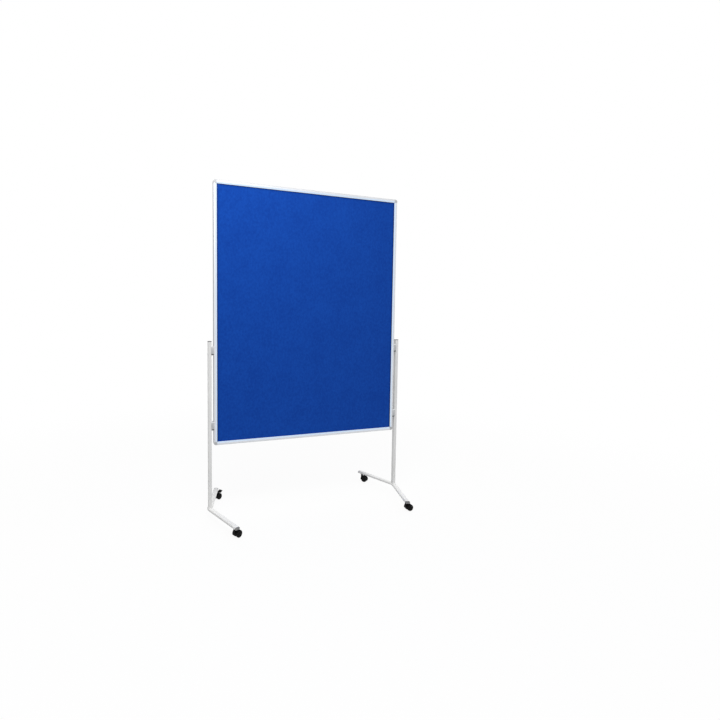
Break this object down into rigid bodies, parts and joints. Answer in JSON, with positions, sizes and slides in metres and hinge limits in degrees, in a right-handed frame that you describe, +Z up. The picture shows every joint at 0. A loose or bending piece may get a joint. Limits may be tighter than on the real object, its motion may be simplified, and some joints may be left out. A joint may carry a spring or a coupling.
{
  "type": "mobile pinboard",
  "caption": "Free-standing pinboard: a tall felt panel in a slim aluminium frame, held between square posts on V-shaped feet with swivelling twin-wheel castors and a brake pedal.",
  "frame": {"origin": "on the floor, below the middle of the board", "axes": "+X along the board to the right, -Y towards the front, +Z up"},
  "size_m": [1.274, 0.5704, 1.935],
  "materials": {
    "felt": "felt",
    "core": "soft fibreboard",
    "frame": "satin anodised",
    "corner": "matt",
    "bracket": "satin",
    "stand": "satin powder coat",
    "cap": "matt",
    "steel": "zinc plated",
    "castor": "fine grain",
    "wheel": "smooth"
  },
  "bodies": {
    "stand": {"front_felt": "felt", "rear_felt": "felt", "core_board": "core", "top_rail": "frame", "bottom_rail": "frame", "left_stile": "frame", "right_stile": "frame", "corner_cap_lower_left": "corner", "bracket_lower_left": "bracket", "corner_cap_lower_right": "corner", "bracket_lower_right": "bracket", "corner_cap_upper_left": "corner", "bracket_upper_left": "bracket", "corner_cap_upper_right": "corner", "bracket_upper_right": "bracket", "post_left": "stand", "foot_left": "stand", "post_cap_left": "cap", "leg_caps_left": "cap", "post_right": "stand", "foot_right": "stand", "post_cap_right": "cap", "leg_caps_right": "cap", "castor_stems": "steel"},
    "castor_front_left": {"castor_hood_front_left": "castor", "castor_axle_front_left": "steel"},
    "wheel_near_front_left": {"castor_wheel_near_front_left": "wheel"},
    "wheel_far_front_left": {"castor_wheel_far_front_left": "wheel"},
    "castor_front_right": {"castor_hood_front_right": "castor", "castor_axle_front_right": "steel"},
    "wheel_near_front_right": {"castor_wheel_near_front_right": "wheel"},
    "wheel_far_front_right": {"castor_wheel_far_front_right": "wheel"},
    "castor_rear_left": {"castor_hood_rear_left": "castor", "castor_axle_rear_left": "steel", "brake_pin": "steel"},
    "wheel_near_rear_left": {"castor_wheel_near_rear_left": "wheel"},
    "wheel_far_rear_left": {"castor_wheel_far_rear_left": "wheel"},
    "castor_rear_right": {"castor_hood_rear_right": "castor", "castor_axle_rear_right": "steel"},
    "wheel_near_rear_right": {"castor_wheel_near_rear_right": "wheel"},
    "wheel_far_rear_right": {"castor_wheel_far_rear_right": "wheel"},
    "brake": {"brake_pedal": "castor"}
  },
  "joints": [
    {"name": "swivel_front_left", "type": "hinge", "parent": "stand", "child": "castor_front_left", "pos_m": [-0.53734, -0.2534, 0.036], "axis": [0, 0, 1], "continuous": true},
    {"name": "spin_near_front_left", "type": "hinge", "parent": "castor_front_left", "child": "wheel_near_front_left", "pos_m": [-0.51402, -0.25379, 0.02], "axis": [-0.5, 0.866, 0], "continuous": true},
    {"name": "spin_far_front_left", "type": "hinge", "parent": "castor_front_left", "child": "wheel_far_front_left", "pos_m": [-0.52602, -0.23301, 0.02], "axis": [-0.5, 0.866, 0], "continuous": true},
    {"name": "swivel_front_right", "type": "hinge", "parent": "stand", "child": "castor_front_right", "pos_m": [0.53734, -0.2534, 0.036], "axis": [0, 0, 1], "continuous": true},
    {"name": "spin_near_front_right", "type": "hinge", "parent": "castor_front_right", "child": "wheel_near_front_right", "pos_m": [0.55734, -0.2654, 0.02], "axis": [0, 1, 0], "continuous": true},
    {"name": "spin_far_front_right", "type": "hinge", "parent": "castor_front_right", "child": "wheel_far_front_right", "pos_m": [0.55734, -0.2414, 0.02], "axis": [0, 1, 0], "continuous": true},
    {"name": "swivel_rear_left", "type": "hinge", "parent": "stand", "child": "castor_rear_left", "pos_m": [-0.53734, 0.2534, 0.036], "axis": [0, 0, 1], "continuous": true},
    {"name": "spin_near_rear_left", "type": "hinge", "parent": "castor_rear_left", "child": "wheel_near_rear_left", "pos_m": [-0.51402, 0.25301, 0.02], "axis": [-0.5, 0.866, 0], "continuous": true},
    {"name": "spin_far_rear_left", "type": "hinge", "parent": "castor_rear_left", "child": "wheel_far_rear_left", "pos_m": [-0.52602, 0.27379, 0.02], "axis": [-0.5, 0.866, 0], "continuous": true},
    {"name": "swivel_rear_right", "type": "hinge", "parent": "stand", "child": "castor_rear_right", "pos_m": [0.53734, 0.2534, 0.036], "axis": [0, 0, 1], "continuous": true},
    {"name": "spin_near_rear_right", "type": "hinge", "parent": "castor_rear_right", "child": "wheel_near_rear_right", "pos_m": [0.53898, 0.23013, 0.02], "axis": [0.8192, 0.5736, 0], "continuous": true},
    {"name": "spin_far_rear_right", "type": "hinge", "parent": "castor_rear_right", "child": "wheel_far_rear_right", "pos_m": [0.55864, 0.2439, 0.02], "axis": [0.8192, 0.5736, 0], "continuous": true},
    {"name": "brake_press", "type": "hinge", "parent": "castor_rear_left", "child": "brake", "pos_m": [-0.51525, 0.26615, 0.04207], "axis": [-0.5, 0.866, 0], "range_deg": [0, 15]}
  ]
}
